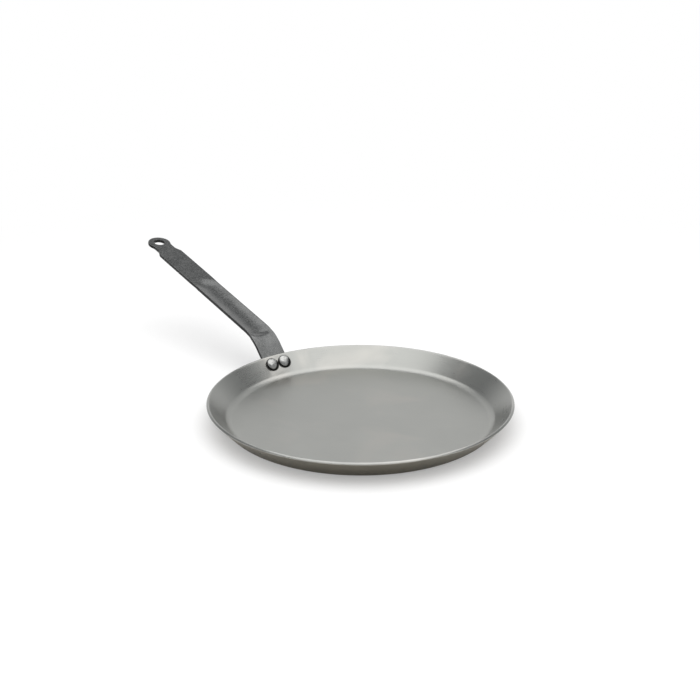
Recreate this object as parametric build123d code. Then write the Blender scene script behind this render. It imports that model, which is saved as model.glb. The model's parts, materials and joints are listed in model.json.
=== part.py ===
from build123d import *
from math import asin, cos, degrees, radians, sin, tan
import os

# A 26 cm crepe pan in carbon steel: a shallow pressed pan, a flat strip handle with a hollow
# pressed along its top, and two solid rivets that hold the strip to the outside of the wall.
# The origin is the middle of the underside. The handle points along +X and +Z is up.

# Pan, in millimetres and degrees
rim_radius = 130.2          # corner of the lip before it is rounded
lip_height = 18.2           # the same corner above the table
sheet = 2.5                 # steel of the floor and wall
wall_angle = 47.0           # wall above the horizontal
floor_bend_radius = 6.5     # inside of the bend between floor and wall
lip_round = 0.5

# Handle strip
strip_width = 25.5
strip_thickness = 3.0
edge_round = 0.6
slope_angle = 13.8          # grip above the horizontal
bend_radius = 55.0          # top face of the bend
tab_rise = 24.1             # from the lip to the corner of the bend, along the wall
tab_depth = 18.6            # from the lip to the end of the tab, along the wall
tab_corner_radius = 7.0
tab_seat = 0.25             # how far the tab's flat face is let into the round wall
grip_length = 197.0         # from the corner of the bend to the middle of the hanging hole

# Hanging end, its places measured back from the middle of the hole
ring_radius = 11.5
hole_radius = 5.5
neck_width = 18.8
neck_setback = 16.2         # where the shoulder's slant reaches the neck
shoulder_setback = 23.7     # where the full width ends
shoulder_radius = 6.0
neck_blend_radius = 7.0

# Hollow in the strip, with a rib of the same shape under it
hollow_depth = 2.4
hollow_setback = 99.0       # centre of its round end, back from the middle of the hole
hollow_turn = 17.0          # how much of the bend it takes
hollow_wall_angle = 50.0    # slant of its end wall in the bend

# Rivets
rivet_pitch = 13.4
rivet_drop = 8.9            # from the lip to the middle of a rivet, along the wall
head_radius = 6.2
head_height = 4.0
tail_radius = 5.0
tail_height = 2.0
shank_radius = 2.5
shank_clearance = 0.05
skirt = 0.6                 # edge of a head or tail before it is pressed to the steel under it


def along(angle, length=1):
    return Vector(cos(radians(angle)) * length, 0, sin(radians(angle)) * length)


def across(angle, length=1):
    return Vector(-sin(radians(angle)) * length, 0, cos(radians(angle)) * length)


# The wall and the strip, seen from the side
lip_outer = Vector(rim_radius, 0, lip_height)
lip_inner = lip_outer + across(wall_angle, sheet)
outer_corner = lip_outer - along(wall_angle, lip_outer.Z / sin(radians(wall_angle)))
inner_corner = lip_inner - along(wall_angle, (lip_inner.Z - sheet) / sin(radians(wall_angle)))
lip_seat = lip_outer + across(wall_angle, tab_seat)
tab_end = lip_seat - along(wall_angle, tab_depth)
bend_corner = lip_seat + along(wall_angle, tab_rise)
bend_turn = wall_angle - slope_angle
bend_end = bend_corner + along(slope_angle, bend_radius * tan(radians(bend_turn / 2)))
bend_middle = bend_end - across(slope_angle, bend_radius)
hole_middle = bend_corner + along(slope_angle, grip_length)
end_setback = shoulder_setback + shoulder_radius
run_end = hole_middle - along(slope_angle, end_setback)
slope = Plane(origin=hole_middle, x_dir=along(slope_angle), z_dir=across(slope_angle))


def pan_sheet():
    inside = FilletPolyline((0, 0, sheet), inner_corner, lip_inner, radius=floor_bend_radius)
    outside = FilletPolyline((0, 0, 0), outer_corner, lip_outer, radius=floor_bend_radius + sheet)
    section = make_face([inside, outside, Line(lip_inner, lip_outer), Line((0, 0, 0), (0, 0, sheet))])
    lip_corners = section.vertices().sort_by(Axis.X)[-2:]
    return revolve(fillet(lip_corners, lip_round), Axis.Z)


def strip_run(thickness):
    # From the tab's end to where the hanging end starts, with the bend, at the strip's width.
    low_corner = bend_corner - across(slope_angle, thickness)
    low_corner -= along(slope_angle, thickness * tan(radians(bend_turn / 2)))
    low_tab_end = tab_end - across(wall_angle, thickness)
    low_run_end = run_end - across(slope_angle, thickness)
    top = FilletPolyline(tab_end, bend_corner, run_end, radius=bend_radius)
    low = FilletPolyline(low_tab_end, low_corner, low_run_end, radius=bend_radius - thickness)
    side = make_face([top, low, Line(tab_end, low_tab_end), Line(run_end, low_run_end)])
    return extrude(side, strip_width / 2, dir=(0, 1, 0), both=True)


def hanging_end():
    half_strip = strip_width / 2
    half_neck = neck_width / 2
    outline = Polygon(
        (-end_setback, half_strip),
        (-end_setback, -half_strip),
        (-shoulder_setback, -half_strip),
        (-neck_setback, -half_neck),
        (0, -half_neck),
        (0, half_neck),
        (-neck_setback, half_neck),
        (-shoulder_setback, half_strip),
        align=None,
    )
    shoulders = outline.vertices().filter_by(lambda corner: -end_setback < corner.X < 0)
    outline = fillet(shoulders, shoulder_radius) + Circle(ring_radius)
    necks = outline.vertices().filter_by(lambda corner: -ring_radius < corner.X < 0)
    return extrude(slope * fillet(necks, neck_blend_radius), -strip_thickness)


def flat_strip():
    # The tab's corners are rounded first, then every edge between a broad face and a narrow one.
    strip = strip_run(strip_thickness) + hanging_end()
    tab_corners = strip.edges().filter_by(Axis(tab_end, across(wall_angle)))
    strip = fillet(tab_corners.sort_by(Axis.X)[:2], tab_corner_radius)
    facing = across((wall_angle + slope_angle) / 2)
    broad = strip.faces().filter_by(lambda face: abs(face.normal_at().dot(facing)) > cos(radians(bend_turn)))
    narrow = strip.faces().filter_by(lambda face: face not in broad)
    outline = [edge for edge in broad.edges() if edge in narrow.edges()]
    return fillet(outline, edge_round)


def hollow_bar(level):
    # A round bar laid along the strip, its underside a hollow's depth below the given level.
    half_width = strip_width / 2 - edge_round
    lift = (half_width ** 2 - hollow_depth ** 2) / (2 * hollow_depth) - level
    radius = lift + level + hollow_depth
    end_middle = hole_middle - along(slope_angle, hollow_setback) + across(slope_angle, lift)
    bend_face = Plane(origin=bend_end + across(slope_angle, lift), z_dir=along(slope_angle)) * Circle(radius)
    straight = extrude(bend_face, (end_middle - bend_end - across(slope_angle, lift)).length)
    curved = revolve(bend_face, Axis(bend_middle, (0, -1, 0)), bend_turn)
    bar = straight + curved + Pos(end_middle) * Sphere(radius)
    start_angle = slope_angle + hollow_turn
    wall_tilt = start_angle - hollow_wall_angle
    start = bend_middle + across(start_angle, bend_radius) - across(wall_tilt, level)
    end_wall = Plane(origin=start, x_dir=along(wall_tilt), z_dir=across(wall_tilt))
    reach = 2 * grip_length
    return bar & (end_wall * Box(reach, reach, reach, align=(Align.CENTER, Align.CENTER, Align.MIN)))


def pressed_strip():
    # The rib starts inside the strip, so that the strip's own edges stay as they are.
    below_middle = strip_run(strip_thickness + hollow_depth) - strip_run(strip_thickness / 2)
    rib = below_middle & hollow_bar(strip_thickness)
    return flat_strip() + rib - hollow_bar(0)


def rivet_place():
    # On the wall's inner face, facing into the pan.
    return Plane(origin=lip_inner - along(wall_angle, rivet_drop), z_dir=across(wall_angle))


def dome(radius, height):
    cap_radius = (radius ** 2 + height ** 2) / (2 * height)
    cap = Pos(0, 0, height - cap_radius) * Sphere(cap_radius)
    post = Cylinder(radius, height, align=(Align.CENTER, Align.CENTER, Align.MIN))
    return (cap & post) + Cylinder(radius, skirt, align=(Align.CENTER, Align.CENTER, Align.MAX))


def shank(radius, reach):
    grip = sheet - tab_seat + strip_thickness
    return Pos(0, 0, -grip / 2) * Cylinder(radius, grip + 2 * reach)


os.makedirs("parts", exist_ok=True)

bare_pan = pan_sheet()
bare_handle = pressed_strip() - bare_pan
tail_place = rivet_place().offset(tab_seat - sheet - strip_thickness) * Rot(180, 0, 0)
head = rivet_place() * dome(head_radius, head_height)
tail = tail_place * dome(tail_radius, tail_height)
core = rivet_place() * shank(shank_radius, tail_height / 2)
drill = rivet_place() * shank(shank_radius + shank_clearance, head_height)
rivet_azimuth = degrees(asin(rivet_pitch / 2 / rivet_place().origin.X))

pan_body = bare_pan
handle = bare_handle - slope * Cylinder(hole_radius, 2 * strip_thickness + hollow_depth)
for name, azimuth in (("rivet_left", rivet_azimuth), ("rivet_right", -rivet_azimuth)):
    turn = Rot(0, 0, azimuth)
    pan_body -= turn * drill
    handle -= turn * drill
    rivet = (turn * head - bare_pan) + turn * core + (turn * tail - bare_handle)
    export_step(rivet, f"parts/{name}.step")
export_step(pan_body, "parts/pan_body.step")
export_step(handle, "parts/handle.step")
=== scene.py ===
import bmesh
import bpy
import json
import math
from mathutils import Matrix, Quaternion, Vector, noise


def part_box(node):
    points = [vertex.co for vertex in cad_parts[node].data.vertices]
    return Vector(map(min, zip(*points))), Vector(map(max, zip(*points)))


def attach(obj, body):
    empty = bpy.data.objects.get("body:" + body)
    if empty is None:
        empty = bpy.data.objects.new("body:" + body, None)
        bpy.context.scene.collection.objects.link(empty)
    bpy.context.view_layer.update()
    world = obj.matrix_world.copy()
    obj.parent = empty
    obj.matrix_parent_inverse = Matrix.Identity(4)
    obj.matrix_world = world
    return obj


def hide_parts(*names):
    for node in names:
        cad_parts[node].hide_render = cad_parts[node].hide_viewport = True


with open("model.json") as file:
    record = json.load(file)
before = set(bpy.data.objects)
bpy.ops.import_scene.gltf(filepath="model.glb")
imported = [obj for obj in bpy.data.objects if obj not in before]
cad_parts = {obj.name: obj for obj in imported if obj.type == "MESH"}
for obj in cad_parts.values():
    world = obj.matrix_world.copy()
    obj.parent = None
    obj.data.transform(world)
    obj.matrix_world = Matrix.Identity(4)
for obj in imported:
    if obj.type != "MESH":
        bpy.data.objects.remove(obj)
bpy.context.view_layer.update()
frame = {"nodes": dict(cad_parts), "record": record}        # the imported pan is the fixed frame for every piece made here
mounts = {mount["name"]: mount for mount in frame["record"]["mounts"]}
bpy.ops.object.select_all(action="DESELECT")
print("frame loaded:", sorted(frame["nodes"]))

perMetre = 1000             # millimetres
samePlace = 0.00001         # metres within which two places count as one
sameAngle = 0.001           # radians, likewise
weldWithin = 0.000001       # metres within which vertices are joined


# Camera and studio

cameraSetup = {
    "imageSize": 700,               # pixels, both ways
    "originAt": (360.5, 417.8),     # pixel where the middle of the pan's underside lies
    "azimuth": -128.35,
    "elevation": 23.53,
    "roll": 0.16,
    "distance": 1.0162,
    "focal": 0.06106,
    "sensor": 0.036,
    "clip": (0.01, 50.0),
}


def directionOf(azimuth, elevation):
    return Vector((
        math.sin(azimuth) * math.cos(elevation),
        -math.cos(azimuth) * math.cos(elevation),
        math.sin(elevation),
    ))


def makeCamera(setup):
    back = directionOf(math.radians(setup["azimuth"]), math.radians(setup["elevation"]))
    bpy.ops.object.camera_add(location=back * setup["distance"])
    camera = bpy.context.object
    camera.name = "photoCamera"
    camera.data.sensor_width = setup["sensor"] * perMetre
    camera.data.lens = setup["focal"] * perMetre
    pixelFocal = setup["focal"] / setup["sensor"] * setup["imageSize"]
    right, down = (place - setup["imageSize"] / 2 for place in setup["originAt"])
    pan = math.atan(right / pixelFocal)
    tilt = math.atan(down / pixelFocal * math.cos(pan))
    turn = back.to_track_quat("Z", "Y")
    turn @= Quaternion((0, 1, 0), pan)
    turn @= Quaternion((1, 0, 0), tilt)
    turn @= Quaternion((0, 0, 1), math.radians(setup["roll"]))
    camera.rotation_mode = "QUATERNION"
    camera.rotation_quaternion = turn
    camera.data.clip_start, camera.data.clip_end = setup["clip"]
    bpy.context.scene.camera = camera


studioSetup = {
    "floorSize": 12.0,
    "floorColor": (0.9, 0.9, 0.9, 1),
    "floorRoughness": 0.9,
    "seenColor": (0.6, 0.6, 0.6, 1),    # what the camera sees of the floor is a shaded part
    "seenGlow": 0.32,                   # and a white part, so that its shadows stay pale
    "fadeStart": 0.35,                  # from here out the floor turns to the plain white of the backdrop
    "fadeEnd": 0.8,
    "worldLight": 0.6,                  # what the room sheds on everything
    "sideMirrored": (0.62, 0.32),       # what polished metal sees of the room's sides, low down and high up
    "sideTurn": (4.0, 26.0),            # degrees above the floor where the one fades to the other
    "sideTint": (0.955, 0.98, 1, 1),    # they are a little cool
    "wallMirrored": 1.0,                # what it sees of the white wall behind the pan
    "wallShift": 3.0,                   # degrees to the right
    "wallHalfAngle": 28.0,
    "wallSoftness": 30.0,
    "wallTop": 33.0,
    "wallTopFade": 0.1,                 # how far it fades above and below that, as a sine
    "boxHeight": 1.5,
    "boxWidth": 2.65,
    "boxDepth": 2.4,
    "boxShift": 0.1,                    # to the right, as the camera sees it
    "boxRadiance": 1.5,
}


nodeGrid = 200          # how far apart nodes lie in the editor
white = (1, 1, 1, 1)


def addNode(tree, kind, place, **settings):
    node = tree.nodes.new(kind)
    node.location = (place[0] * nodeGrid, place[1] * nodeGrid)
    for name, value in settings.items():
        setattr(node, name, value)
    return node


def feed(tree, socket, value):
    # A value is a number, a colour, a vector or the output that gives it.
    if isinstance(value, bpy.types.NodeSocket):
        tree.links.new(value, socket)
    else:
        socket.default_value = value


def addFilled(tree, kind, place, values, **settings):
    # The values go to the node's inputs in the inputs' own order.
    node = addNode(tree, kind, place, **settings)
    for socket, value in zip(node.inputs, values):
        feed(tree, socket, value)
    return node.outputs


def addMath(tree, operation, place, *values):
    return addFilled(tree, "ShaderNodeMath", place, values, operation=operation)[0]


def addVector(tree, operation, place, *values):
    outputs = addFilled(tree, "ShaderNodeVectorMath", place, values, operation=operation)
    return outputs["Value" if operation in ("LENGTH", "DOT_PRODUCT") else "Vector"]


def addShader(tree, kind, place, *values):
    return addFilled(tree, kind, place, values)[0]


def splitVector(tree, place, vector):
    return addFilled(tree, "ShaderNodeSeparateXYZ", place, (vector,))


def joinVector(tree, place, *parts):
    return addFilled(tree, "ShaderNodeCombineXYZ", place, parts)[0]


def addMix(tree, place, share, first, second):
    node = addNode(tree, "ShaderNodeMix", place, data_type="RGBA")
    for socket, value in zip((node.inputs[0], node.inputs[6], node.inputs[7]), (share, first, second)):
        feed(tree, socket, value)
    return node.outputs[2]


def addRange(tree, place, value, fromMin, fromMax, toMin=0, toMax=1, smooth=True):
    node = addNode(tree, "ShaderNodeMapRange", place)
    node.interpolation_type = "SMOOTHSTEP" if smooth else "LINEAR"
    limits = {"Value": value, "From Min": fromMin, "From Max": fromMax, "To Min": toMin, "To Max": toMax}
    for name, limit in limits.items():
        feed(tree, node.inputs[name], limit)
    return node.outputs["Result"]


def addBlend(tree, place, share, start, end):
    return addRange(tree, place, share, 0, 1, start, end, smooth=False)


def addSum(tree, place, values, shares):
    # Each value counts by its own share.
    total = 0
    for step, (value, share) in enumerate(zip(values, shares)):
        total = addMath(tree, "MULTIPLY_ADD", (place[0] + step, place[1]), value, share, total)
    return total


def addMirroredRoom(tree, setup):
    # Polished metal sees a white wall behind the pan, and sides that fade on their way up.
    direction = addNode(tree, "ShaderNodeTexCoord", (-8, 0)).outputs["Generated"]
    height = splitVector(tree, (-7, -1), direction)["Z"]
    wallMiddle = -directionOf(math.radians(cameraSetup["azimuth"] - setup["wallShift"]), 0)
    away = addVector(tree, "DOT_PRODUCT", (-7, 0), direction, wallMiddle)
    near = math.cos(math.radians(setup["wallHalfAngle"] - setup["wallSoftness"]))
    far = math.cos(math.radians(setup["wallHalfAngle"] + setup["wallSoftness"]))
    across = addRange(tree, (-6, 0), away, far, near)
    top = math.sin(math.radians(setup["wallTop"]))
    below = addRange(tree, (-6, -1), height, top + setup["wallTopFade"], top - setup["wallTopFade"])
    onWall = addMath(tree, "MULTIPLY", (-5, -0.5), across, below)
    lowest, highest = (math.sin(math.radians(turn)) for turn in setup["sideTurn"])
    side = addRange(tree, (-5, -2), height, lowest, highest, *setup["sideMirrored"])
    return onWall, addBlend(tree, (-4, -0.5), onWall, side, setup["wallMirrored"])


def makeWorld(setup):
    world = bpy.data.worlds.new("whiteRoom")
    bpy.context.scene.world = world
    world.use_nodes = True
    tree = world.node_tree
    background = tree.nodes["Background"].inputs
    path = addNode(tree, "ShaderNodeLightPath", (-8, 4)).outputs
    onWall, mirrored = addMirroredRoom(tree, setup)
    byMirror = addMath(tree, "MAXIMUM", (-6, 3), path["Is Glossy Ray"], path["Is Transmission Ray"])
    fromMirror = addMath(tree, "MULTIPLY", (-3, 2), byMirror, mirrored)
    spread = addMath(tree, "MULTIPLY", (-3, 1), path["Is Diffuse Ray"], setup["worldLight"])
    litByRoom = addMath(tree, "ADD", (-2, 2), fromMirror, spread)
    feed(tree, background["Strength"], addMath(tree, "ADD", (-1, 2), litByRoom, path["Is Camera Ray"]))
    offWall = addMath(tree, "SUBTRACT", (-4, 4), 1, onWall)
    onSide = addMath(tree, "MULTIPLY", (-3, 4), byMirror, offWall)
    feed(tree, background["Color"], addMix(tree, (-1, 4), onSide, white, setup["sideTint"]))


def finishFloor(setup):
    # The camera sees a paler floor than the pan does, and further out the white of the backdrop.
    material = bpy.data.materials.new("paleFloor")
    material.use_nodes = True
    tree = material.node_tree
    lit = tree.nodes["Principled BSDF"]
    lit.inputs["Base Color"].default_value = setup["floorColor"]
    lit.inputs["Roughness"].default_value = setup["floorRoughness"]
    lit.inputs["Specular IOR Level"].default_value = 0
    shaded = addShader(tree, "ShaderNodeBsdfDiffuse", (-1, -1), setup["seenColor"])
    glow = addShader(tree, "ShaderNodeEmission", (-1, -2), white, setup["seenGlow"])
    backdrop = addShader(tree, "ShaderNodeEmission", (-1, -3), white)
    pale = addShader(tree, "ShaderNodeAddShader", (1, -1), shaded, glow)
    spot = addNode(tree, "ShaderNodeTexCoord", (-6, -3)).outputs["Object"]
    distance = addVector(tree, "LENGTH", (-5, -3), spot)
    fade = addRange(tree, (-4, -3), distance, setup["fadeStart"], setup["fadeEnd"])
    turnWhite = addShader(tree, "ShaderNodeMixShader", (2, -1), fade, pale, backdrop)
    byCamera = addNode(tree, "ShaderNodeLightPath", (1, 2)).outputs["Is Camera Ray"]
    seen = addShader(tree, "ShaderNodeMixShader", (3, 0), byCamera, lit.outputs["BSDF"], turnWhite)
    feed(tree, tree.nodes["Material Output"].inputs["Surface"], seen)
    return material


def makeFloor(setup):
    bpy.ops.mesh.primitive_plane_add(size=setup["floorSize"])
    floor = bpy.context.object
    floor.name = "studioFloor"
    floor.data.materials.append(finishFloor(setup))


def makeSoftbox(setup):
    # A wide box hangs level over the pan, its long side across the camera's view.
    azimuth = math.radians(cameraSetup["azimuth"])
    right = Vector((math.cos(azimuth), math.sin(azimuth), 0))
    bpy.ops.object.light_add(
        type="AREA", location=right * setup["boxShift"] + Vector((0, 0, setup["boxHeight"])),
        rotation=(0, 0, azimuth))
    lamp = bpy.context.object
    lamp.name = "softbox"
    lamp.visible_camera = False
    lamp.data.shape = "RECTANGLE"
    lamp.data.size = setup["boxWidth"]
    lamp.data.size_y = setup["boxDepth"]
    lamp.data.energy = setup["boxRadiance"] * math.pi * setup["boxWidth"] * setup["boxDepth"]


makeCamera(cameraSetup)
makeWorld(studioSetup)
makeFloor(studioSetup)
makeSoftbox(studioSetup)
bpy.context.scene.view_settings.view_transform = "Standard"
print("studio ready")


# Small helpers for making pieces

def selectVerts(piece, wanted):
    mesh = bmesh.from_edit_mesh(piece.data)
    mesh.select_mode = {"VERT"}
    bpy.context.tool_settings.mesh_select_mode = (True, False, False)
    for vert in mesh.verts:
        vert.select = bool(wanted(vert.co))
    mesh.select_flush_mode()
    bmesh.update_edit_mesh(piece.data)


def moveVerts(piece, moved):
    # Gives each vertex the place that the rule works out from its old one.
    for vert in piece.data.vertices:
        vert.co = moved(vert.co.copy())
    piece.data.update()


def startPiece(name):
    piece = bpy.context.object
    piece.name = name
    piece.data.name = name
    bpy.ops.object.transform_apply(location=True, rotation=True, scale=True)
    return piece


def applyModifier(piece, name, kind, **settings):
    modifier = piece.modifiers.new(name, kind)
    for setting, value in settings.items():
        setattr(modifier, setting, value)
    bpy.context.view_layer.objects.active = piece
    bpy.ops.object.modifier_apply(modifier=modifier.name)


def weldAll():
    bpy.ops.mesh.select_all(action="SELECT")
    bpy.ops.mesh.remove_doubles(threshold=weldWithin)
    bpy.ops.mesh.normals_make_consistent(inside=False)


def faceUp(piece, upward):
    # An open sheet has no inside, so its faces are turned by one face that is known to be level.
    weldAll()
    mesh = bmesh.from_edit_mesh(piece.data)
    mesh.normal_update()
    level = max(mesh.faces, key=lambda face: abs(face.normal.z) * face.calc_area())
    if (level.normal.z > 0) != upward:
        bpy.ops.mesh.flip_normals()


def extrudeRow(step, scale=(1, 1, 1)):
    bpy.ops.mesh.extrude_region_move(TRANSFORM_OT_translate={"value": step})
    bpy.ops.transform.resize(value=scale, center_override=(0, 0, 0))


def drawRing(height, radius, oldRadius):
    scale = radius / oldRadius
    extrudeRow((0, 0, height), (scale, scale, 1))


edgeAngles = {
    "shaded": 35.0,             # degrees, more than a smooth surface turns from face to face
    "wearAndHighlight": (12.0, 28.0),     # where an outer edge starts to rub bright with a painted highlight, and where it is all bright
}


def pick(piece):
    bpy.ops.object.select_all(action="DESELECT")
    piece.select_set(True)
    bpy.context.view_layer.objects.active = piece


def place(piece, origin, alongX, upZ):
    # Sets a piece that was made flat at the world's origin on its own place and slant.
    side = upZ.cross(alongX)
    turn = Matrix((alongX, side, upZ)).transposed().to_4x4()
    piece.matrix_world = Matrix.Translation(origin) @ turn
    pick(piece)
    bpy.ops.object.transform_apply(location=True, rotation=True, scale=True)


def openMesh(piece):
    mesh = bmesh.new()
    mesh.from_mesh(piece.data)
    return mesh


def closeMesh(mesh, piece):
    mesh.to_mesh(piece.data)
    mesh.free()


def storeOnVerts(piece, name, measured):
    # Keeps one number for each vertex, for the piece's material to read.
    mesh = openMesh(piece)
    mesh.normal_update()
    layer = mesh.verts.layers.float.new(name)
    for vert in mesh.verts:
        vert[layer] = measured(vert)
    closeMesh(mesh, piece)


def outerEdge(vert):
    # How sharply the surface turns outwards here, from 0 on a flat to 1 on an edge that is rubbed bright and
    # carries a painted highlight.
    turns = [edge.calc_face_angle_signed(0) for edge in vert.link_edges if edge.is_manifold]
    start, end = (math.radians(angle) for angle in edgeAngles["wearAndHighlight"])
    return smoothStep(start, end, max(turns, default=0))


def finishPiece(piece, node):
    storeOnVerts(piece, "outerEdge", outerEdge)
    pick(piece)
    bpy.ops.object.shade_smooth_by_angle(angle=math.radians(edgeAngles["shaded"]))
    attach(piece, "root")
    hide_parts(node)
    piece.select_set(False)
    print(piece.name, "made,", len(piece.data.polygons), "faces")


def smoothStep(start, end, value):
    share = min(1, max(0, (value - start) / (end - start)))
    return share * share * (3 - 2 * share)


def smoothLeast(first, second, softness):
    # The lesser of two values, with the corner where they cross rounded off.
    share = max(0, softness - abs(first - second)) / softness
    return min(first, second) - share * share * softness / 4


# Pan

pan = {
    "sheet": 0.0025,
    "wallAngle": 47.0,              # degrees above the table
    "bendRadius": 0.0085,           # inside, between floor and wall
    "lipRound": 0.0005,             # at its outer corner
    "lipRoundInside": 0.001,
    "segments": 360,
    "floorRings": 14,
    "bendSteps": 10,
    "wallRows": 10,
    "bendRoom": 1.1,                # height of the lowest row, as a share of the bend's
    "lipSteps": 4,
    "nearLip": 0.0001,              # how close to the lip's corners their vertices lie
    "tabReach": 0.010,              # half the width that the handle's tab presses flatter
    "tabFade": 0.007,
    "tabPress": 0.65,               # share of the wall's roundness that it takes out there
    "tabSeat": 0.00025,             # how far the tab is let into the wall
    "tabFoot": 0.004,               # height where the wall starts to flatten
}
wallSlope = math.radians(pan["wallAngle"])
wallUp = Vector((math.cos(wallSlope), 0, math.sin(wallSlope)))
wallInward = Vector((-math.sin(wallSlope), 0, math.cos(wallSlope)))
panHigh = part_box("pan_body")[1]
lipLoss = pan["lipRound"] * (math.sin(wallSlope) + math.cos(wallSlope) - 1)
rimRadius = panHigh.x + lipLoss
lipHeight = panHigh.z + lipLoss - pan["sheet"] * math.cos(wallSlope)
cornerRadius = rimRadius - lipHeight / math.tan(wallSlope)
lipOuter = Vector((rimRadius, 0, lipHeight))
lipInner = lipOuter + wallInward * pan["sheet"]


def flattenedByTab(spot):
    share = pan["tabPress"] * smoothStep(pan["tabReach"] + pan["tabFade"], pan["tabReach"], abs(spot.y))
    share *= smoothStep(pan["tabFoot"], 2 * pan["tabFoot"], spot.z)
    if spot.x < 0 or share == 0:
        return spot
    roundedBy = spot.xy.length - spot.x
    return spot + wallInward * share * (pan["tabSeat"] - roundedBy * math.sin(wallSlope))


def makePan():
    # The outside of the sheet first, from a disc: the wall is drawn up from its edge.
    bpy.ops.mesh.primitive_circle_add(
        vertices=pan["segments"], radius=cornerRadius, fill_type="NGON", location=(0, 0, 0))
    piece = startPiece("panBody")
    bpy.ops.object.mode_set(mode="EDIT")
    bpy.ops.mesh.select_all(action="SELECT")
    ringWidth = cornerRadius / (pan["floorRings"] + 1)
    for ring in range(pan["floorRings"]):
        bpy.ops.mesh.inset(thickness=ringWidth, use_boundary=True)
    bpy.ops.mesh.poke()
    outermost = cornerRadius - ringWidth / 2
    selectVerts(piece, lambda spot: spot.xy.length > outermost)
    bendReach = (pan["bendRadius"] + pan["sheet"]) * math.tan(wallSlope / 2)
    bendHeight = pan["bendRoom"] * bendReach * math.sin(wallSlope)
    oldRadius, oldHeight = cornerRadius, 0
    for row in range(pan["wallRows"] + 1):
        height = bendHeight + (lipHeight - bendHeight) * row / pan["wallRows"]
        radius = cornerRadius + height / math.tan(wallSlope)
        drawRing(height - oldHeight, radius, oldRadius)
        oldRadius, oldHeight = radius, height
    selectVerts(piece, lambda spot: spot.z < bendHeight / 2 and spot.xy.length > outermost)
    bpy.ops.mesh.bevel(offset=bendReach, segments=pan["bendSteps"], affect="EDGES")
    faceUp(piece, False)
    bpy.ops.object.mode_set(mode="OBJECT")
    applyModifier(piece, "sheet", "SOLIDIFY", thickness=pan["sheet"], offset=-1, use_quality_normals=True)
    bpy.ops.object.mode_set(mode="EDIT")
    for corner, radius in ((lipOuter, pan["lipRound"]), (lipInner, pan["lipRoundInside"])):
        selectVerts(
            piece, lambda spot: (Vector((spot.xy.length, 0, spot.z)) - corner).length < pan["nearLip"])
        bpy.ops.mesh.bevel(offset=radius, segments=pan["lipSteps"], affect="EDGES")
    bpy.ops.object.mode_set(mode="OBJECT")
    moveVerts(piece, flattenedByTab)
    return piece


panPiece = makePan()


# Handle, made flat with the middle of its hanging hole at the origin, then bent, pressed and set in place

hangingHole = mounts["hanging_hole"]
gripUp = Vector(hangingHole["axis"])
gripAlong = Vector((gripUp.z, 0, -gripUp.x))
handle = {
    "thickness": hangingHole["dims"]["length_mm"] / perMetre,
    "holeRadius": hangingHole["dims"]["r_mm"] / perMetre,
    "halfWidth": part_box("handle")[1].y,
    "columns": 26,
    "gripLength": 0.197,            # from the corner of the bend to the middle of the hole
    "gripRows": 130,
    "bendRadius": 0.045,
    "bendSteps": 40,
    "tabRise": 0.0241,              # from the lip to the corner of the bend, along the wall
    "tabDepth": 0.0186,             # from the lip to the end of the tab, along the wall
    "tabCorner": 0.007,
    "cornerRows": 8,
    "flatWithin": 0.1,              # degrees within which faces of the tab are made one
    "shoulderStart": 0.025,         # back from the middle of the hole, as the next two are
    "shoulderEnd": 0.0149,
    "neckEnd": 0.0125,
    "shoulderRows": 12,
    "neckHalf": 0.0097,
    "neckBlend": 0.009,
    "blendRows": 7,
    "ringRadius": 0.0115,
    "ringRows": 4,
    "holeEdges": 48,
    "joinAngle": math.radians(67.5),    # from here on the ring runs free, on both sides
    "edgeRound": 0.0006,
    "edgeSteps": 3,
    "sharpAngle": 60.0,             # degrees, less than any edge turns that is rounded
    "holeRound": 0.3,               # share of that at the hole, which is punched and stays sharper
    "hollowDepth": 0.0024,
    "hollowEnd": 0.099,             # middle of its round end, back from the middle of the hole
    "hollowTurn": 17.0,             # degrees of the bend that it takes
    "hollowMargin": 1.5,            # past this many of its half widths nothing is pressed
    "hollowEndShare": 0.55,         # length of its end there, as a share of its round end's
    "hollowSoftness": (0.0003, 0.0018),     # at its sides and at its ends
    "drawIn": 0.0004,               # what the strip loses on each side where it is pressed
    "flatArea": 0.00001,            # square metres, more than any face of the grip has
}


def hollowDepthAt(back, side):
    # Depth of the pressed hollow, back from the middle of the hole and to the side of the strip's middle.
    reach = handle["halfWidth"] - handle["edgeRound"]
    deepest = handle["hollowDepth"]
    barRadius = (reach ** 2 + deepest ** 2) / (2 * deepest)
    lastStart = gripEnd + handle["bendRadius"] * math.radians(handle["hollowTurn"])
    lastStart -= reach * handle["hollowEndShare"]
    past = max(0, handle["hollowEnd"] - back, (back - lastStart) / handle["hollowEndShare"])
    away = math.hypot(side, past)
    if away > handle["hollowMargin"] * reach:
        return 0
    sideSoftness, endSoftness = handle["hollowSoftness"]
    softness = sideSoftness + (endSoftness - sideSoftness) * min(1, past / reach)
    return -smoothLeast(0, barRadius - deepest - math.sqrt(barRadius ** 2 - away ** 2), softness)


bendTurn = wallSlope - math.atan2(gripAlong.z, gripAlong.x)
bendTangent = handle["bendRadius"] * math.tan(bendTurn / 2)
gripEnd = handle["gripLength"] - bendTangent


def backFromHole(spot):
    if spot.x > -gripEnd:
        return -spot.x
    turned = math.atan2(-gripEnd - spot.x, spot.z + handle["bendRadius"])
    return gripEnd + turned * handle["bendRadius"]


def stripUp(spot):
    turned = min(bendTurn, max(0, (backFromHole(spot) - gripEnd) / handle["bendRadius"]))
    return Vector((-math.sin(turned), 0, math.cos(turned)))


def drawnInAt(back):
    return min(1, hollowDepthAt(back, 0) / handle["hollowDepth"]) * handle["drawIn"]


def squaredFlank(spot):
    # The pressed strip's flanks stay upright, so its underside is no wider than its top.
    if handle["shoulderStart"] < backFromHole(spot) < gripEnd + handle["bendRadius"] * bendTurn:
        most = handle["halfWidth"] - drawnInAt(backFromHole(spot))
        spot.y = max(-most, min(most, spot.y))
    return spot


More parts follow.
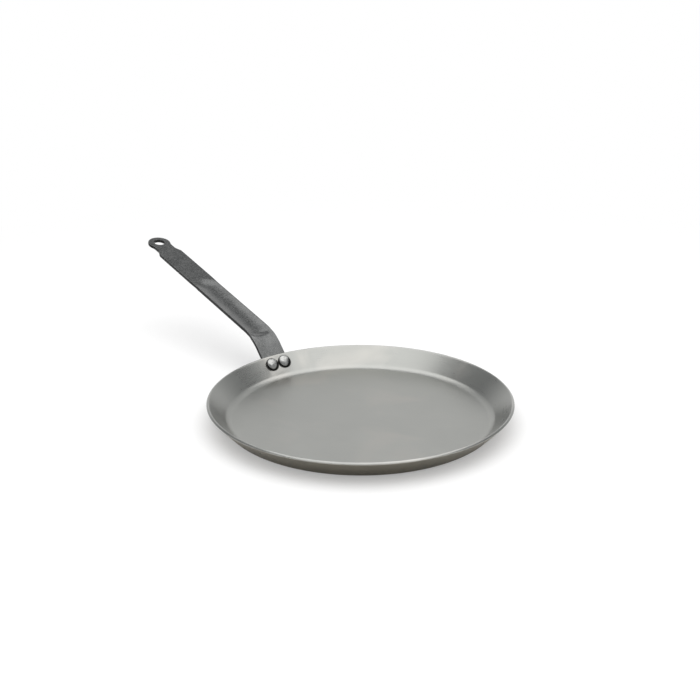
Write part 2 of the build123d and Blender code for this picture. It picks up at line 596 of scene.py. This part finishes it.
def addTab(piece):
    # The end of the grip is spun round the bend and drawn out along the wall, then its end is rounded.
    selectVerts(piece, lambda spot: spot.x < samePlace - gripEnd)
    bpy.ops.mesh.spin(
        steps=handle["bendSteps"], angle=bendTurn, center=(-gripEnd, 0, -handle["bendRadius"]),
        axis=(0, 1, 0))
    down = Vector((-math.cos(bendTurn), 0, -math.sin(bendTurn)))
    extrudeRow(down * (handle["tabRise"] + handle["tabDepth"] - bendTangent - handle["tabCorner"]))
    width, reached = handle["halfWidth"], 0
    for row in range(1, handle["cornerRows"] + 1):
        angle = math.pi / 2 * row / handle["cornerRows"]
        newWidth = handle["halfWidth"] - handle["tabCorner"] * (1 - math.cos(angle))
        newReach = handle["tabCorner"] * math.sin(angle)
        extrudeRow(down * (newReach - reached), (1, newWidth / width, 1))
        width, reached = newWidth, newReach
    bendFoot = -gripEnd - handle["bendRadius"] * math.sin(bendTurn)
    selectVerts(piece, lambda spot: spot.x < bendFoot + samePlace)
    bpy.ops.mesh.dissolve_limited(angle_limit=math.radians(handle["flatWithin"]))


def addNeck(piece):
    # The shoulder narrows in a soft S to the neck.
    selectVerts(piece, lambda spot: spot.x > -handle["shoulderStart"] - samePlace)
    width = handle["halfWidth"]
    length = handle["shoulderStart"] - handle["shoulderEnd"]
    for row in range(1, handle["shoulderRows"] + 1):
        share = smoothStep(0, handle["shoulderRows"], row)
        newWidth = handle["halfWidth"] + (handle["neckHalf"] - handle["halfWidth"]) * share
        extrudeRow((length / handle["shoulderRows"], 0, 0), (1, newWidth / width, 1))
        width = newWidth
    extrudeRow((handle["shoulderEnd"] - handle["neckEnd"], 0, 0))


# Outline from the end of the neck, round the blend and on along the ring

blendSide = handle["neckHalf"] + handle["neckBlend"]
blendAway = handle["ringRadius"] + handle["neckBlend"]
blendBack = math.sqrt(blendAway ** 2 - blendSide ** 2)
touchAngle = math.asin(blendSide / blendAway)
straightLength = handle["neckEnd"] - blendBack
blendLength = handle["neckBlend"] * (math.pi / 2 - touchAngle)
contourLength = straightLength + blendLength + handle["ringRadius"] * (handle["joinAngle"] - touchAngle)


def neckContour(length):
    if length < straightLength:
        return Vector((length - handle["neckEnd"], handle["neckHalf"], 0))
    if length < straightLength + blendLength:
        radius = handle["neckBlend"]
        turned = (length - straightLength) / radius
        return Vector((radius * math.sin(turned) - blendBack, blendSide - radius * math.cos(turned), 0))
    angle = touchAngle + (length - straightLength - blendLength) / handle["ringRadius"]
    return Vector((-math.cos(angle), math.sin(angle), 0)) * handle["ringRadius"]


def ringAngle(spot):
    return math.atan2(spot.y, -spot.x)


def onHole(spot):
    return abs(spot.xy.length - handle["holeRadius"]) < samePlace


def addRing(piece):
    # The hole's far side is widened to a ring.
    bpy.ops.mesh.primitive_circle_add(
        vertices=handle["holeEdges"], radius=handle["holeRadius"], fill_type="NOTHING", location=(0, 0, 0),
        rotation=(0, 0, math.pi / 2))
    freeFrom = handle["joinAngle"] - sameAngle
    selectVerts(piece, lambda spot: onHole(spot) and abs(ringAngle(spot)) > freeFrom)
    step = (handle["ringRadius"] - handle["holeRadius"]) / handle["ringRows"]
    for row in range(handle["ringRows"]):
        radius = handle["holeRadius"] + row * step
        drawRing(0, radius + step, radius)


def joinsNeck(spot):
    # The end of the neck, the hole's near side and the two ends of the ring.
    angle = abs(ringAngle(spot))
    onNear = onHole(spot) and angle < handle["joinAngle"] + sameAngle
    onCut = abs(angle - handle["joinAngle"]) < sameAngle
    onEnd = onCut and spot.xy.length < handle["ringRadius"] + samePlace
    return abs(spot.x + handle["neckEnd"]) < samePlace or onNear or onEnd


def bridgeNeck(piece):
    # The neck is bridged to the ring, and the rows between the two follow the outline.
    selectVerts(piece, joinsNeck)
    mesh = bmesh.from_edit_mesh(piece.data)
    ends = [vert.co.copy() for vert in mesh.verts if vert.select]
    pastNeck = samePlace - handle["neckEnd"]
    onNeck = sorted((spot for spot in ends if spot.x < pastNeck), key=lambda spot: spot.y)
    onRing = sorted(
        (spot for spot in ends if spot.x > pastNeck),
        key=lambda spot: (round(ringAngle(spot) / sameAngle), math.copysign(spot.xy.length, spot.y)))
    bpy.ops.mesh.bridge_edge_loops(number_cuts=handle["blendRows"], interpolation="LINEAR")
    mesh = bmesh.from_edit_mesh(piece.data)
    bridged = [vert for vert in mesh.verts if vert.co.x > pastNeck]
    for row in range(1, handle["blendRows"] + 1):
        share = row / (handle["blendRows"] + 1)
        shift = neckContour(contourLength * share) - onNeck[-1].lerp(onRing[-1], share)
        for column, (back, front) in enumerate(zip(onNeck, onRing)):
            straight = back.lerp(front, share)
            vert = min(bridged, key=lambda vert: (vert.co - straight).length)
            side = 2 * column / (len(onNeck) - 1) - 1
            vert.co = straight + Vector((shift.x, shift.y * math.copysign(1, side), 0)) * side ** 2
    bmesh.update_edit_mesh(piece.data)


def pressHollow(piece):
    # The weights are halved and the strength is doubled, so that none is cut off at 1.
    group = piece.vertex_groups.new(name="hollow")
    for vert in piece.data.vertices:
        back = backFromHole(vert.co)
        depth = hollowDepthAt(back, vert.co.y)
        if depth > 0:
            group.add([vert.index], depth / handle["hollowDepth"] / 2, "REPLACE")
    applyModifier(
        piece, "hollow", "DISPLACE", vertex_group="hollow", direction="NORMAL", mid_level=0,
        strength=-2 * handle["hollowDepth"])

    def drawnIn(spot):
        spot.y *= 1 - drawnInAt(backFromHole(spot)) / handle["halfWidth"]
        return spot

    moveVerts(piece, drawnIn)


def weighEdges(piece):
    # Only the sharp edges are to be rounded, those of the hole less than the others.
    mesh = openMesh(piece)
    weight = mesh.edges.layers.float.new("bevel_weight_edge")
    for edge in mesh.edges:
        if edge.calc_face_angle(0) > math.radians(handle["sharpAngle"]):
            atHole = edge.verts[0].co.xy.length < handle["holeRadius"] + handle["edgeRound"]
            edge[weight] = handle["holeRound"] if atHole else 1
    closeMesh(mesh, piece)


def keepFlat(piece):
    # The wide flat faces of the tab end sharply, so that their shading stays even.
    mesh = openMesh(piece)
    for face in mesh.faces:
        if face.calc_area() > handle["flatArea"]:
            for edge in face.edges:
                edge.smooth = False
    closeMesh(mesh, piece)


def makeHandle():
    gripLong = gripEnd - handle["shoulderStart"]
    bpy.ops.mesh.primitive_grid_add(
        x_subdivisions=handle["gripRows"], y_subdivisions=handle["columns"], size=1, location=(0, 0, 0))
    piece = startPiece("handleStrip")
    bpy.ops.object.mode_set(mode="EDIT")
    bpy.ops.mesh.select_all(action="SELECT")
    bpy.ops.transform.resize(value=(gripLong, 2 * handle["halfWidth"], 1), center_override=(0, 0, 0))
    bpy.ops.transform.translate(value=(-handle["shoulderStart"] - gripLong / 2, 0, 0))
    addTab(piece)
    addNeck(piece)
    addRing(piece)
    bridgeNeck(piece)
    faceUp(piece, True)
    bpy.ops.object.mode_set(mode="OBJECT")
    pressHollow(piece)
    applyModifier(
        piece, "strip", "SOLIDIFY", thickness=handle["thickness"], offset=-1, use_quality_normals=True)
    moveVerts(piece, squaredFlank)
    weighEdges(piece)
    applyModifier(
        piece, "edges", "BEVEL", width=handle["edgeRound"], segments=handle["edgeSteps"],
        limit_method="WEIGHT", use_clamp_overlap=False)
    storeOnVerts(piece, "flank", lambda vert: 1 - abs(vert.normal.dot(stripUp(vert.co))))
    top = Vector(hangingHole["pos_m"]) + gripUp * handle["thickness"] / 2
    place(piece, top, gripAlong, gripUp)
    return piece


handlePiece = makeHandle()


# Rivets, turned on their own axis with the wall's inner face at height 0

rivet = {
    "segments": 48,
    "headRadius": 0.0062,
    "headHeight": 0.004,
    "headFullness": 2.15,           # 2 is a half ellipse, more is flatter on top and steeper at the side
    "headRings": 14,
    "headUndercut": 0.0004,         # how far its edge turns back in above the steel
    "edgeHeight": 0.0005,
    "edgeFlare": 1 / 3,             # in this share of that height it comes out fast, then slowly
    "shankRadius": 0.0025,
    "clearance": 0.00005,
    "drillLength": 0.02,
    "tailRadius": 0.005,
    "tailHeight": 0.002,
    "tailFullness": 2.0,
    "tailRings": 8,
    "tailUndercut": 0.0003,
    "sunk": 0.0003,                 # how far head and tail reach into the steel
    "drop": 0.0089,                 # from the lip to the middle of a rivet, along the wall
    "lean": (0.0005, 0.0012),       # how far each top is set over, up the wall and to the left
    "footShadeWidths": (0.05, 0.4),      # of the painted shade at its foot, as shares of the radius
    "footShadeSide": (-1.0, -2.0),       # where most of it lies, down the wall and to the right
    "footShadeSoftness": 0.1,
    "dents": 0.00012,
    "dentSize": 0.0026,
    "dentRise": 0.5,                # share of its height over which they set in
}
rivetGrip = pan["sheet"] + handle["thickness"] - pan["tabSeat"]     # the steel between head and tail


def addDome(radius, height, fullness, undercut, rings, direction):
    # From the steel out round the edge and up to the top of the dome.
    edge, flare = direction * rivet["edgeHeight"], rivet["edgeFlare"]
    drawRing(edge * flare, radius - undercut * flare, radius - undercut)
    drawRing(edge * (1 - flare), radius, radius - undercut * flare)
    reached, oldRadius = 0, radius
    rise = height - rivet["edgeHeight"]
    for ring in range(1, rings):
        newRadius = radius * math.cos(math.pi / 2 * ring / rings)
        level = rise * (1 - (newRadius / radius) ** fullness) ** (1 / fullness)
        drawRing(direction * (level - reached), newRadius, oldRadius)
        reached, oldRadius = level, newRadius
    extrudeRow((0, 0, direction * (rise - reached)))
    bpy.ops.mesh.merge(type="CENTER")


def makeRivet():
    headFoot = rivet["headRadius"] - rivet["headUndercut"]
    tailFoot = rivet["tailRadius"] - rivet["tailUndercut"]
    bpy.ops.mesh.primitive_circle_add(
        vertices=rivet["segments"], radius=headFoot, fill_type="NOTHING", location=(0, 0, 0))
    piece = startPiece("rivetLeft")
    bpy.ops.object.mode_set(mode="EDIT")
    bpy.ops.mesh.select_all(action="SELECT")
    addDome(
        rivet["headRadius"], rivet["headHeight"], rivet["headFullness"], rivet["headUndercut"],
        rivet["headRings"], 1)
    selectVerts(piece, lambda spot: abs(spot.z) < weldWithin)
    drawRing(-rivet["sunk"], headFoot, headFoot)
    drawRing(0, rivet["shankRadius"], headFoot)
    drawRing(2 * rivet["sunk"] - rivetGrip, rivet["shankRadius"], rivet["shankRadius"])
    drawRing(0, tailFoot, rivet["shankRadius"])
    drawRing(-rivet["sunk"], tailFoot, tailFoot)
    addDome(
        rivet["tailRadius"], rivet["tailHeight"], rivet["tailFullness"], rivet["tailUndercut"],
        rivet["tailRings"], -1)
    weldAll()
    bpy.ops.object.mode_set(mode="OBJECT")
    return piece


def domeHeight(spot):
    # From 0 at the steel to 1 on top of the head or the tail.
    return max(spot.z / rivet["headHeight"], (-rivetGrip - spot.z) / rivet["tailHeight"])


def footShadeShare(spot):
    # Painted shade at the foot of a head or tail, for contact shadow and dark reflection, most of it below
    # and to the right.
    away = math.hypot(spot.x, spot.y)
    radius = rivet["headRadius"] if spot.z > 0 else rivet["tailRadius"]
    lee = max(0, spot.xy.dot(Vector(rivet["footShadeSide"]).normalized())) / max(away, weldWithin)
    least, most = rivet["footShadeWidths"]
    clean = 1 - least - (most - least) * lee ** 2
    return smoothStep(clean - rivet["footShadeSoftness"], clean, away / radius)


def dentHead(piece, seed):
    # Each head takes its own shallow dents from the hammer.
    def dented(spot):
        share = smoothStep(0, rivet["dentRise"], domeHeight(spot))
        if spot.z > 0:
            spot += Vector((*rivet["lean"], 0)) * domeHeight(spot)
        bump = noise.noise(spot / rivet["dentSize"] + Vector((seed, 0, 0)))
        return spot - Vector((0, 0, math.copysign(abs(bump) * share * rivet["dents"], spot.z)))

    moveVerts(piece, dented)


def copyPiece(piece, name):
    twin = piece.copy()
    twin.data = piece.data.copy()
    twin.name = twin.data.name = name
    bpy.context.scene.collection.objects.link(twin)
    return twin


def rivetSeat(node):
    # The middle of the rivet on the wall's inner face, with the way up the wall and the way into the pan.
    low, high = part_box(node)
    seat = lipInner - wallUp * rivet["drop"]
    turn = Matrix.Rotation(math.asin((low.y + high.y) / 2 / seat.x), 3, "Z")
    return turn @ seat, turn @ wallUp, turn @ wallInward


def drillFor(node, *pieces):
    # One rivet passes through the wall and the tab on the same axis.
    bpy.ops.mesh.primitive_cylinder_add(
        vertices=rivet["segments"], radius=rivet["shankRadius"] + rivet["clearance"],
        depth=rivet["drillLength"], location=(0, 0, 0))
    drill = startPiece("drill")
    place(drill, *rivetSeat(node))
    for piece in pieces:
        applyModifier(piece, "hole", "BOOLEAN", operation="DIFFERENCE", object=drill, solver="EXACT")
    bpy.data.objects.remove(drill)


applyModifier(handlePiece, "seat", "BOOLEAN", operation="DIFFERENCE", object=panPiece, solver="EXACT")
rivetLeft = makeRivet()
rivetRight = copyPiece(rivetLeft, "rivetRight")
for seed, (piece, node) in enumerate(((rivetLeft, "rivet_left"), (rivetRight, "rivet_right"))):
    # Where each head and tail is painted dark at its foot as shade.
    storeOnVerts(piece, "footShade", lambda vert: footShadeShare(vert.co))
    dentHead(piece, seed)
    place(piece, *rivetSeat(node))
    drillFor(node, panPiece, handlePiece)
    finishPiece(piece, node)
keepFlat(handlePiece)
finishPiece(panPiece, "pan_body")
finishPiece(handlePiece, "handle")


# Effects used more than once, each built once as a shader group

noiseSpan = (0.3, 0.7)          # nearly all of a noise's values lie between these
wearAndHighlightSpan = (0.3, 0.65)        # between these of its values, rubbing and painted highlight come and go


def startGroup(name, inputs, outputs):
    # An input with no number of its own is a vector.
    group = bpy.data.node_groups.new(name, "ShaderNodeTree")
    for label, number in inputs.items():
        kind = "NodeSocketVector" if number is None else "NodeSocketFloat"
        socket = group.interface.new_socket(label, in_out="INPUT", socket_type=kind)
        if number is not None:
            socket.default_value = number
    for label in outputs:
        group.interface.new_socket(label, in_out="OUTPUT", socket_type="NodeSocketFloat")
    entry = addNode(group, "NodeGroupInput", (-8, 0)).outputs
    leave = addNode(group, "NodeGroupOutput", (4, 0)).inputs
    return group, entry, leave


def addNoise(tree, place, vector, scale, detail=2.0, roughness=0.5, distortion=0.0):
    node = addNode(tree, "ShaderNodeTexNoise", place)
    settings = {
        "Vector": vector, "Scale": scale, "Detail": detail, "Roughness": roughness, "Distortion": distortion}
    for name, value in settings.items():
        feed(tree, node.inputs[name], value)
    return node.outputs["Fac"]


def makeCloudGroup():
    # Soft patches, such as a film that was wiped on or a tint in the steel.
    inputs = {"Vector": None, "Scale": 20.0, "Low": noiseSpan[0], "High": noiseSpan[1]}
    group, entry, leave = startGroup("softPatches", inputs, ["Mask"])
    cloud = addNoise(group, (-4, 0), entry["Vector"], entry["Scale"], detail=3.0, distortion=0.6)
    feed(group, leave["Mask"], addRange(group, (0, 0), cloud, entry["Low"], entry["High"]))
    return group


def makeBrushGroup():
    # Fine lines across the vector's X, drawn out along its Y and Z.
    inputs = {"Vector": None, "Lines": 2500.0, "Streaks": 50.0}
    group, entry, leave = startGroup("brushedLines", inputs, ["Lines"])
    parts = splitVector(group, (-7, 0), entry["Vector"])
    scales = (entry["Lines"], entry["Streaks"], entry["Streaks"])
    drawn = [
        addMath(group, "MULTIPLY", (-5, 1 - row), part, scale)
        for row, (part, scale) in enumerate(zip(parts, scales))]
    fine = addNoise(group, (-2, 0), joinVector(group, (-4, 0), *drawn), 1.0, detail=3.0, roughness=0.65)
    feed(group, leave["Lines"], addRange(group, (0, 0), fine, *noiseSpan, smooth=False))
    return group


def makeCollarGroup():
    # A soft collar round an axis, here painted shade round a rivet.
    inputs = {"Vector": None, "Centre": None, "Axis": None, "Inner": 0.0062, "Outer": 0.0078}
    group, entry, leave = startGroup("paintedCollarShade", inputs, ["Mask"])
    fromCentre = addVector(group, "SUBTRACT", (-6, 0), entry["Vector"], entry["Centre"])
    across = addVector(group, "CROSS_PRODUCT", (-4, 0), fromCentre, entry["Axis"])
    distance = addVector(group, "LENGTH", (-2, 0), across)
    feed(group, leave["Mask"], addRange(group, (0, 0), distance, entry["Outer"], entry["Inner"]))
    return group


def makeWearAndHighlightGroup():
    # Where outer edges are rubbed bright and carry a painted highlight, unevenly along their length.
    inputs = {"Edge": 0.0, "Vector": None, "Scale": 120.0, "Amount": 0.5}
    group, entry, leave = startGroup("wearAndHighlightEdges", inputs, ["Mask"])
    cloud = addNoise(group, (-4, -1), entry["Vector"], entry["Scale"])
    uneven = addRange(group, (-2, -1), cloud, *wearAndHighlightSpan)
    kept = addMath(group, "MULTIPLY", (-1, 0), entry["Edge"], uneven)
    feed(group, leave["Mask"], addMath(group, "MULTIPLY", (0, 0), kept, entry["Amount"]))
    return group


softPatches = makeCloudGroup()
brushedLines = makeBrushGroup()
paintedCollarShade = makeCollarGroup()
wearAndHighlightEdges = makeWearAndHighlightGroup()


def useGroup(tree, group, place, **values):
    node = addNode(tree, "ShaderNodeGroup", place, node_tree=group)
    for name, value in values.items():
        feed(tree, node.inputs[name], value)
    return node.outputs


def startFinish(name, *pieces):
    material = bpy.data.materials.new(name)
    material.use_nodes = True
    for piece in pieces:
        piece.data.materials.clear()
        piece.data.materials.append(material)
    tree = material.node_tree
    return tree, tree.nodes["Principled BSDF"].inputs, addNode(tree, "ShaderNodeTexCoord", (-14, 0)).outputs


def readStored(tree, place, name):
    return addNode(tree, "ShaderNodeAttribute", place, attribute_name=name).outputs["Fac"]


def addWearAndHighlight(tree, spot, amounts):
    edge = readStored(tree, (-9, 10), "outerEdge")
    return useGroup(tree, wearAndHighlightEdges, (-7, 10), Edge=edge, Vector=spot, **amounts)["Mask"]


def addBump(tree, shader, height):
    # The height is in metres.
    bump = addNode(tree, "ShaderNodeBump", (-1, -3))
    bump.inputs["Distance"].default_value = 1
    feed(tree, bump.inputs["Height"], height)
    feed(tree, shader["Normal"], bump.outputs["Normal"])


def addRivetCollars(tree, place, vector, outer):
    masks = []
    for node in ("rivet_left", "rivet_right"):
        seat, upward, axis = rivetSeat(node)
        masks.append(useGroup(
            tree, paintedCollarShade, place, Vector=vector, Centre=seat, Axis=axis,
            Inner=rivet["headRadius"], Outer=outer)["Mask"])
    return addMath(tree, "MAXIMUM", (place[0] + 1, place[1]), *masks)


# Bare steel of the pan

panFinish = {
    "dark": (0.323, 0.325, 0.31, 1),
    "light": (0.373, 0.375, 0.356, 1),
    "patches": (38.0, 9.0),                 # scales of the small ones and of the broad ones
    "toneShares": (0.25, 0.4, 0.35),        # of the small patches, the broad ones and the lines
    "wallLines": {"Lines": 2200.0, "Streaks": 45.0},
    "floorLines": {"Lines": 1800.0, "Streaks": 25.0},
    "rolledTurn": 62.0,                     # degrees, the way in which the sheet was rolled
    "wallFrom": (-0.004, 0.003),            # where the wall's finish sets in, from the floor's edge
    "floor": 1.21,                          # painted light: how much lighter the floor's colour is made than the wall's
    "film": (0.475, 0.46, 0.43, 1),         # a thin warm film, wiped on in the making
    "filmPatches": {"Scale": 16.0, "Low": 0.5, "High": 0.72},
    "filmAmount": 0.6,
    "outside": (0.275, 0.255, 0.21, 1),
    "outsideFacing": (0.05, -0.2),          # upward part of the normal where that starts and is full
    "collarShade": (0.07, 0.07, 0.065, 1),       # painted shade round the rivets
    "collarOuter": 0.0068,
    "collarAmount": 0.5,
    # Outer edges such as the lip: rubbed steel and a painted highlight.
    "wearAndHighlight": (0.62, 0.62, 0.60, 1),
    "wearAndHighlightEdges": {"Scale": 60.0, "Amount": 0.6},
    "roughness": (0.26, 0.34),
    "roughnessShares": (0.5, 0.5),          # of the small patches and the lines
    "floorRoughness": 0.07,                 # what the floor has on top of that
    "lineDepth": 0.0000025,
    "waves": 22.0,
    "waveDepth": 0.00004,
}


def addPanLines(tree, spot, flat, radius, wallShare):
    # The wall is brushed round and round, and the floor keeps the straight lines of the rolled sheet.
    around = splitVector(tree, (-11, -3), addVector(tree, "NORMALIZE", (-12, -3), flat))
    alongX = addMath(tree, "MULTIPLY", (-10.5, -3), around["X"], rimRadius)
    alongY = addMath(tree, "MULTIPLY", (-10.5, -4), around["Y"], rimRadius)
    spun = joinVector(tree, (-10, -2), radius, alongX, alongY)
    rolled = addNode(tree, "ShaderNodeMapping", (-10, -5))
    rolled.inputs["Rotation"].default_value = (0, 0, math.radians(panFinish["rolledTurn"]))
    feed(tree, rolled.inputs["Vector"], spot)
    onWall = useGroup(tree, brushedLines, (-9, -2), Vector=spun, **panFinish["wallLines"])
    onFloor = useGroup(tree, brushedLines, (-9, -5), Vector=rolled.outputs[0], **panFinish["floorLines"])
    return addBlend(tree, (-7, -2), wallShare, onFloor["Lines"], onWall["Lines"])


def finishPan(piece):
    tree, shader, coordinate = startFinish("panSteel", piece)
    shader["Metallic"].default_value = 1
    spot = coordinate["Object"]
    flat = addVector(tree, "MULTIPLY", (-13, -2), spot, (1, 1, 0))
    radius = addVector(tree, "LENGTH", (-12, -2), flat)
    wallShare = addRange(tree, (-9, -7), radius, *(cornerRadius + shift for shift in panFinish["wallFrom"]))
    lines = addPanLines(tree, spot, flat, radius, wallShare)
    small, broad = (
        useGroup(tree, softPatches, (-9, 2 + row), Vector=spot, Scale=scale)["Mask"]
        for row, scale in enumerate(panFinish["patches"]))
    tone = addSum(tree, (-8, 3), (small, broad, lines), panFinish["toneShares"])
    color = addMix(tree, (-5, 3), tone, panFinish["dark"], panFinish["light"])
    # Painted light: the floor's colour is made lighter than the wall's.
    paintedFloorLight = addBlend(tree, (-5, 5), wallShare, panFinish["floor"], 1)
    color = addVector(tree, "MULTIPLY", (-4.5, 3), color, paintedFloorLight)
    film = useGroup(tree, softPatches, (-9, 4), Vector=spot, **panFinish["filmPatches"])["Mask"]
    filmShare = addMath(tree, "MULTIPLY", (-5, 4), film, panFinish["filmAmount"])
    color = addMix(tree, (-4, 3), filmShare, color, panFinish["film"])
    upward = splitVector(tree, (-9, 6), coordinate["Normal"])["Z"]
    outside = addRange(tree, (-8, 6), upward, *panFinish["outsideFacing"])
    color = addMix(tree, (-3, 3), outside, color, panFinish["outside"])
    # A painted contact shadow on the wall round each rivet.
    collarShade = addRivetCollars(tree, (-9, 8), spot, panFinish["collarOuter"])
    collarShare = addMath(tree, "MULTIPLY", (-3, 6), collarShade, panFinish["collarAmount"])
    color = addMix(tree, (-2, 3), collarShare, color, panFinish["collarShade"])
    # Outer edges lightened, partly rubbed wear and partly painted highlight.
    wearAndHighlight = addWearAndHighlight(tree, spot, panFinish["wearAndHighlightEdges"])
    feed(tree, shader["Base Color"], addMix(tree, (-1, 3), wearAndHighlight, color, panFinish["wearAndHighlight"]))
    duller = addSum(tree, (-6, 0), (small, lines), panFinish["roughnessShares"])
    roughness = addBlend(tree, (-4, 0), duller, *panFinish["roughness"])
    more = addBlend(tree, (-4, -1), wallShare, panFinish["floorRoughness"], 0)
    feed(tree, shader["Roughness"], addMath(tree, "ADD", (-3, 0), roughness, more))
    waves = addNoise(tree, (-6, -4), spot, panFinish["waves"])
    depths = (panFinish["waveDepth"], panFinish["lineDepth"])
    addBump(tree, shader, addSum(tree, (-5, -4), (waves, lines), depths))


# Coat of the handle

coatFinish = {
    "dark": (0.085, 0.087, 0.086, 1),
    "light": (0.19, 0.192, 0.19, 1),
    "pebbles": {"scale": 620.0, "roughness": 0.55},
    "pebbleSpan": (0.32, 0.68),             # their dark and their light values, painted shade in the pebbles' hollows
    "patches": {"Scale": 70.0, "Low": 0.25, "High": 0.75},
    "toneShares": (0.4, 0.6),               # of the patches and the pebbles
    "flank": (0.018, 0.018, 0.018, 1),      # painted shade: the flanks are coloured near black for the dark that they reflect
    "flankSpan": (0.08, 0.4),
    # Outer edges of the strip: rubbed coat and a painted highlight.
    "wearAndHighlight": (0.3, 0.3, 0.295, 1),
    "wearAndHighlightEdges": {"Scale": 90.0, "Amount": 0.12},
    "metallic": (0.85, 1),
    "roughness": (0.23, 0.34),
    "pebbleDepth": 0.00004,
    "grain": {"scale": 1860.0, "detail": 1.0},
    "grainShare": 0.25,                     # of the pebbles' depth
}


def finishHandle(piece):
    tree, shader, coordinate = startFinish("handleCoat", piece)
    spot = coordinate["Object"]
    pebble = addNoise(tree, (-9, 0), spot, **coatFinish["pebbles"])
    grain = addNoise(tree, (-9, -2), spot, **coatFinish["grain"])
    # The colour follows the pebbles' height, painted darker in their hollows as shade.
    pebbleShading = addRange(tree, (-8, 0), pebble, *coatFinish["pebbleSpan"], smooth=False)
    patchy = useGroup(tree, softPatches, (-9, 3), Vector=spot, **coatFinish["patches"])["Mask"]
    tone = addSum(tree, (-8, 2), (patchy, pebbleShading), coatFinish["toneShares"])
    color = addMix(tree, (-5, 3), tone, coatFinish["dark"], coatFinish["light"])
    # The flanks are painted near black as shade.
    flank = addRange(tree, (-8, 5), readStored(tree, (-9, 5), "flank"), *coatFinish["flankSpan"])
    color = addMix(tree, (-4, 3), flank, color, coatFinish["flank"])
    # Outer edges lightened, partly rubbed wear and partly painted highlight.
    wearAndHighlight = addWearAndHighlight(tree, spot, coatFinish["wearAndHighlightEdges"])
    feed(tree, shader["Base Color"], addMix(tree, (-3, 3), wearAndHighlight, color, coatFinish["wearAndHighlight"]))
    feed(tree, shader["Metallic"], addBlend(tree, (-5, 1), flank, *coatFinish["metallic"]))
    feed(tree, shader["Roughness"], addRange(tree, (-5, -1), pebble, *noiseSpan, *coatFinish["roughness"]))
    height = addMath(tree, "MULTIPLY_ADD", (-7, -2), grain, coatFinish["grainShare"], pebble)
    addBump(tree, shader, addMath(tree, "MULTIPLY", (-5, -3), height, coatFinish["pebbleDepth"]))


# Bright steel of the rivets

rivetFinish = {
    "dark": (0.33, 0.33, 0.318, 1),
    "light": (0.56, 0.56, 0.545, 1),
    "patches": 380.0,
    "lines": {"Lines": 2600.0, "Streaks": 500.0},
    "toneShares": (0.3, 0.7),               # of the lines and the patches
    # Painted shade, a contact shadow, at the foot of heads and tails.
    "footShade": (0.03, 0.03, 0.028, 1),
    "roughness": (0.25, 0.4),
    "dentDepth": 0.00008,
}


def finishRivets(*pieces):
    tree, shader, coordinate = startFinish("rivetSteel", *pieces)
    shader["Metallic"].default_value = 1
    spot = coordinate["Object"]
    cloud = useGroup(tree, softPatches, (-9, 2), Vector=spot, Scale=rivetFinish["patches"])["Mask"]
    lines = useGroup(tree, brushedLines, (-9, 0), Vector=spot, **rivetFinish["lines"])["Lines"]
    tone = addSum(tree, (-8, 1), (lines, cloud), rivetFinish["toneShares"])
    color = addMix(tree, (-5, 3), tone, rivetFinish["dark"], rivetFinish["light"])
    # The foot is painted dark as shade.
    color = addMix(tree, (-3, 3), readStored(tree, (-9, 5), "footShade"), color, rivetFinish["footShade"])
    feed(tree, shader["Base Color"], color)
    feed(tree, shader["Roughness"], addBlend(tree, (-5, 0), tone, *rivetFinish["roughness"]))
    addBump(tree, shader, addMath(tree, "MULTIPLY", (-5, -3), cloud, rivetFinish["dentDepth"]))


finishPan(panPiece)
finishHandle(handlePiece)
finishRivets(rivetLeft, rivetRight)
print("finishes made:", sorted(material.name for material in bpy.data.materials))
